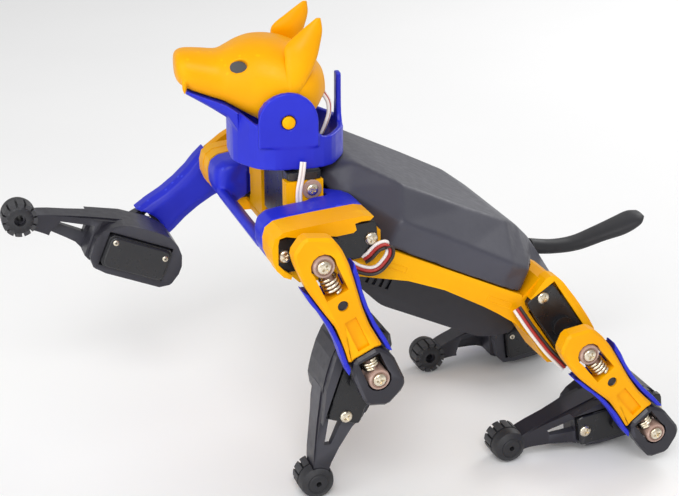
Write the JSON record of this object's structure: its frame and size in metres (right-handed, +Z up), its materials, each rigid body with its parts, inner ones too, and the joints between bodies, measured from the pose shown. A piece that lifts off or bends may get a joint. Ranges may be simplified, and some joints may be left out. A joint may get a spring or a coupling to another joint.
{
  "type": "quadruped robot dog",
  "caption": "Small walking robot dog kit: servo-driven legs with sprung joints, turning neck, lifting head, slide-on battery.",
  "frame": {"origin": "on the ground, under the middle of the bounding box", "axes": "+X towards the head, +Y to the robot's left, +Z up; at rest the body is pitched 25.5 degrees nose-up"},
  "size_m": [0.216, 0.1112, 0.1473],
  "materials": {
    "yellow_plastic": "moulded, fine satin grain",
    "blue_plastic": "moulded, satin",
    "charcoal_plastic": "moulded, matte",
    "servo_plastic": "moulded, satin black",
    "black_rubber": "soft moulded rubber, matte",
    "horn_plastic": "moulded, slightly pink grey",
    "spring_steel": "bright drawn wire",
    "cable_jacket": "soft vinyl ribbon",
    "circuit_board": "solder-masked laminate"
  },
  "bodies": {
    "torso": {"body_frame": "yellow_plastic", "electronics_tray": "charcoal_plastic", "main_board": "circuit_board", "back_cover": "charcoal_plastic", "chest_cover": "blue_plastic", "neck_servo": "servo_plastic", "tail": "black_rubber", "front_left_hip_servo": "servo_plastic", "front_right_hip_servo": "servo_plastic", "rear_left_hip_servo": "servo_plastic", "rear_right_hip_servo": "servo_plastic"},
    "battery": {"battery_pack": "charcoal_plastic"},
    "button": {"power_button": "servo_plastic"},
    "neck": {"neck_horn": "horn_plastic", "jaw_and_neck": "blue_plastic"},
    "head": {"head_shell": "yellow_plastic"},
    "front_left_thigh": {"front_left_hip_horn": "horn_plastic", "front_left_hip_spring": "spring_steel", "front_left_thigh_plate": "yellow_plastic", "front_left_knee_plate": "charcoal_plastic", "front_left_thigh_cover": "blue_plastic", "front_left_leg_cable": "cable_jacket", "front_left_knee_horn": "horn_plastic", "front_left_knee_spring": "spring_steel"},
    "front_left_shank": {"front_left_knee_servo": "servo_plastic", "front_left_shank": "charcoal_plastic", "front_left_foot": "black_rubber"},
    "front_right_thigh": {"front_right_hip_horn": "horn_plastic", "front_right_hip_spring": "spring_steel", "front_right_thigh_plate": "yellow_plastic", "front_right_knee_plate": "charcoal_plastic", "front_right_thigh_cover": "blue_plastic", "front_right_leg_cable": "cable_jacket", "front_right_knee_horn": "horn_plastic", "front_right_knee_spring": "spring_steel"},
    "front_right_shank": {"front_right_knee_servo": "servo_plastic", "front_right_shank": "charcoal_plastic", "front_right_foot": "black_rubber"},
    "rear_left_thigh": {"rear_left_hip_horn": "horn_plastic", "rear_left_hip_spring": "spring_steel", "rear_left_thigh_plate": "yellow_plastic", "rear_left_knee_plate": "charcoal_plastic", "rear_left_thigh_cover": "blue_plastic", "rear_left_leg_cable": "cable_jacket", "rear_left_knee_horn": "horn_plastic", "rear_left_knee_spring": "spring_steel"},
    "rear_left_shank": {"rear_left_knee_servo": "servo_plastic", "rear_left_shank": "charcoal_plastic", "rear_left_foot": "black_rubber"},
    "rear_right_thigh": {"rear_right_hip_horn": "horn_plastic", "rear_right_hip_spring": "spring_steel", "rear_right_thigh_plate": "yellow_plastic", "rear_right_knee_plate": "charcoal_plastic", "rear_right_thigh_cover": "blue_plastic", "rear_right_leg_cable": "cable_jacket", "rear_right_knee_horn": "horn_plastic", "rear_right_knee_spring": "spring_steel"},
    "rear_right_shank": {"rear_right_knee_servo": "servo_plastic", "rear_right_shank": "charcoal_plastic", "rear_right_foot": "black_rubber"}
  },
  "joints": [
    {"name": "front_left_hip", "type": "hinge", "parent": "torso", "child": "front_left_thigh", "pos_m": [0.0278, 0.046, 0.08602], "axis": [0, -1, 0], "range_deg": [-15, 154]},
    {"name": "front_left_knee", "type": "hinge", "parent": "front_left_thigh", "child": "front_left_shank", "pos_m": [0.01065, 0.046, 0.04768], "axis": [0, 1, 0], "range_deg": [-87, 37]},
    {"name": "front_right_hip", "type": "hinge", "parent": "torso", "child": "front_right_thigh", "pos_m": [0.0278, -0.046, 0.08602], "axis": [0, -1, 0], "range_deg": [-93, 77]},
    {"name": "front_right_knee", "type": "hinge", "parent": "front_right_thigh", "child": "front_right_shank", "pos_m": [0.06157, -0.046, 0.06104], "axis": [0, 1, 0], "range_deg": [-70, 54]},
    {"name": "rear_left_hip", "type": "hinge", "parent": "torso", "child": "rear_left_thigh", "pos_m": [-0.05921, 0.046, 0.04452], "axis": [0, -1, 0], "range_deg": [-20, 74]},
    {"name": "rear_left_knee", "type": "hinge", "parent": "rear_left_thigh", "child": "rear_left_shank", "pos_m": [-0.08575, 0.046, 0.01197], "axis": [0, 1, 0], "range_deg": [-8, 116]},
    {"name": "rear_right_hip", "type": "hinge", "parent": "torso", "child": "rear_right_thigh", "pos_m": [-0.05921, -0.046, 0.04452], "axis": [0, -1, 0], "range_deg": [-20, 74]},
    {"name": "rear_right_knee", "type": "hinge", "parent": "rear_right_thigh", "child": "rear_right_shank", "pos_m": [-0.08575, -0.046, 0.01197], "axis": [0, 1, 0], "range_deg": [-8, 116]},
    {"name": "neck_pan", "type": "hinge", "parent": "torso", "child": "neck", "pos_m": [0.0223, 0, 0.11], "axis": [0, 0, 1], "range_deg": [-67, 83]},
    {"name": "mouth_hinge", "type": "hinge", "parent": "neck", "child": "head", "pos_m": [0.02398, -0.00024, 0.11807], "axis": [-0.1392, -0.9903, 0], "range_deg": [0, 20]},
    {"name": "battery_slide", "type": "slide", "parent": "torso", "child": "battery", "axis": [0.9026, 0, 0.4305], "range_m": [-0.01, 0.003]},
    {"name": "power_button", "type": "slide", "parent": "battery", "child": "button", "axis": [0.9026, 0, 0.4305], "range_m": [0, 0.0006], "stiffness_N_per_m": 300}
  ]
}
